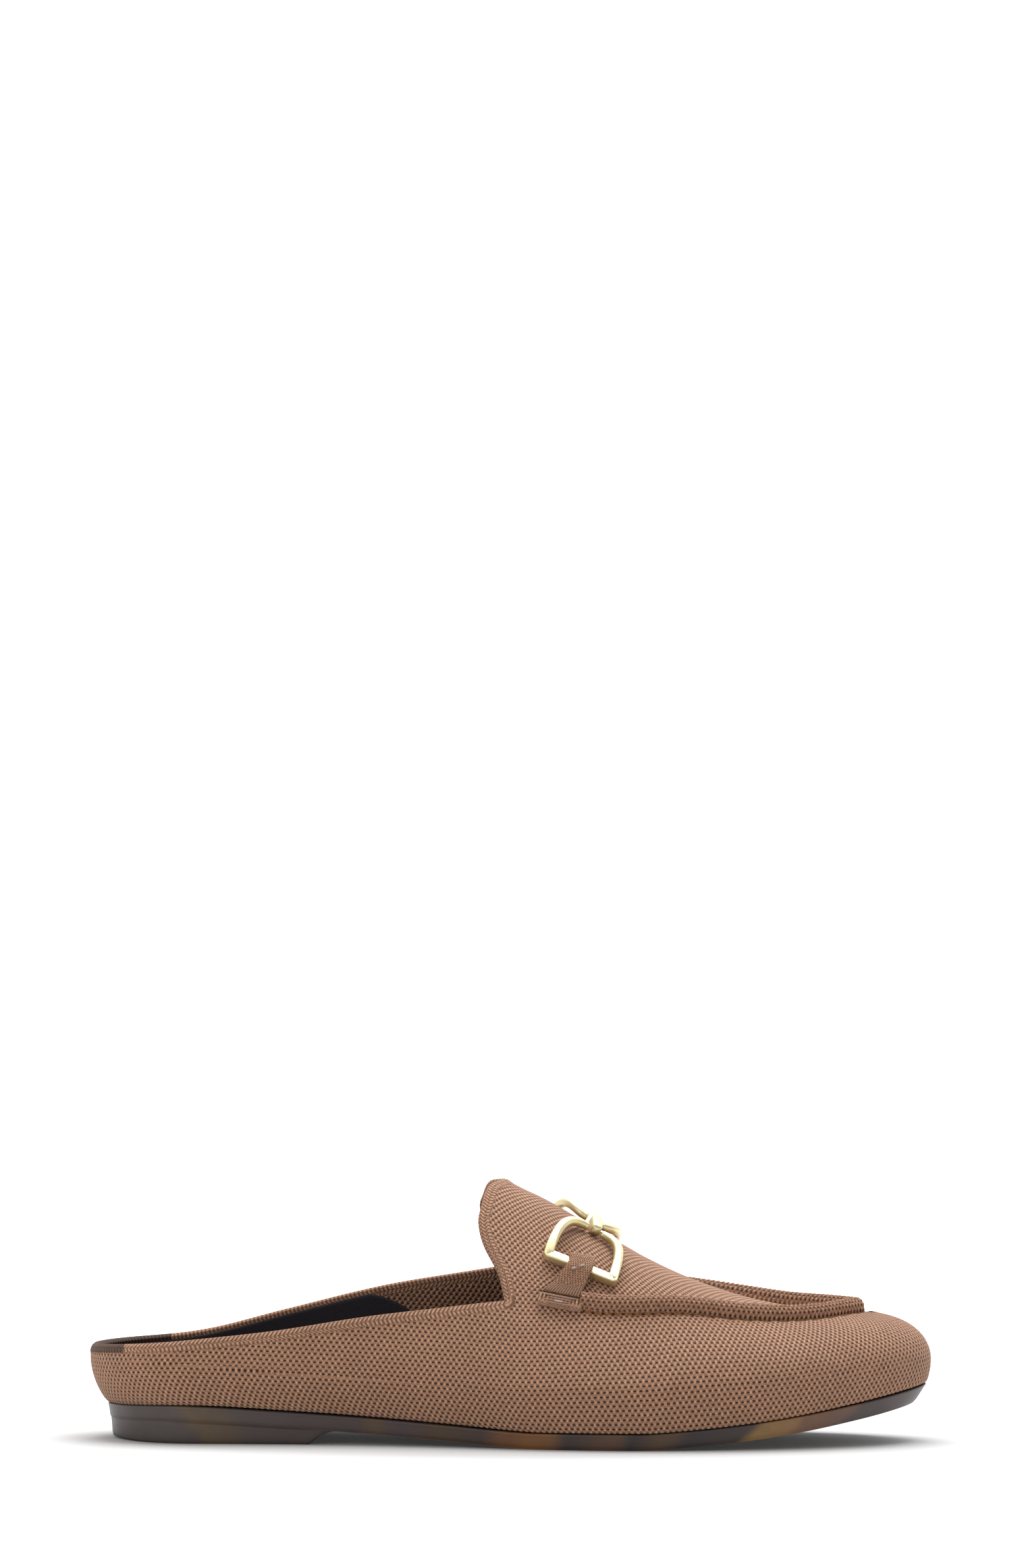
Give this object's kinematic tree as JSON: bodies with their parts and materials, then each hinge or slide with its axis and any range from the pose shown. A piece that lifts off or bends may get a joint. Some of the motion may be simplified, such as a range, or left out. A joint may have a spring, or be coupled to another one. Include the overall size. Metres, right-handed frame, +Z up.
{
  "type": "loafer mule",
  "caption": "Backless loafer with a low heel: a knitted upper with a tall tongue, a raised apron seam and a snaffle bit across the instep, on a one-piece sole.",
  "frame": {"origin": "centre of the shoe's box, on the floor under the sole", "axes": "+X from the heel to the toe, +Y to the inner side of the foot (this is a right shoe), +Z up"},
  "size_m": [0.257, 0.0901, 0.0787],
  "materials": {
    "outsole": "semi-matt dark brown, slightly translucent, moulded",
    "insole": "matt dark navy microfibre",
    "knit": "matt tan and brown yarn, fine knit",
    "knit_trim": "matt tan and brown yarn, ribbed",
    "metal": "satin pale gold plating"
  },
  "bodies": {
    "root": {"upper": "knit", "outsole": "outsole", "insole": "insole", "apron_seam": "knit_trim", "keeper_outer": "knit_trim", "keeper_inner": "knit_trim", "keeper_pad_outer": "knit_trim", "keeper_pad_inner": "knit_trim", "ring_outer": "metal", "ring_inner": "metal", "ring_link": "metal"}
  },
  "joints": []
}
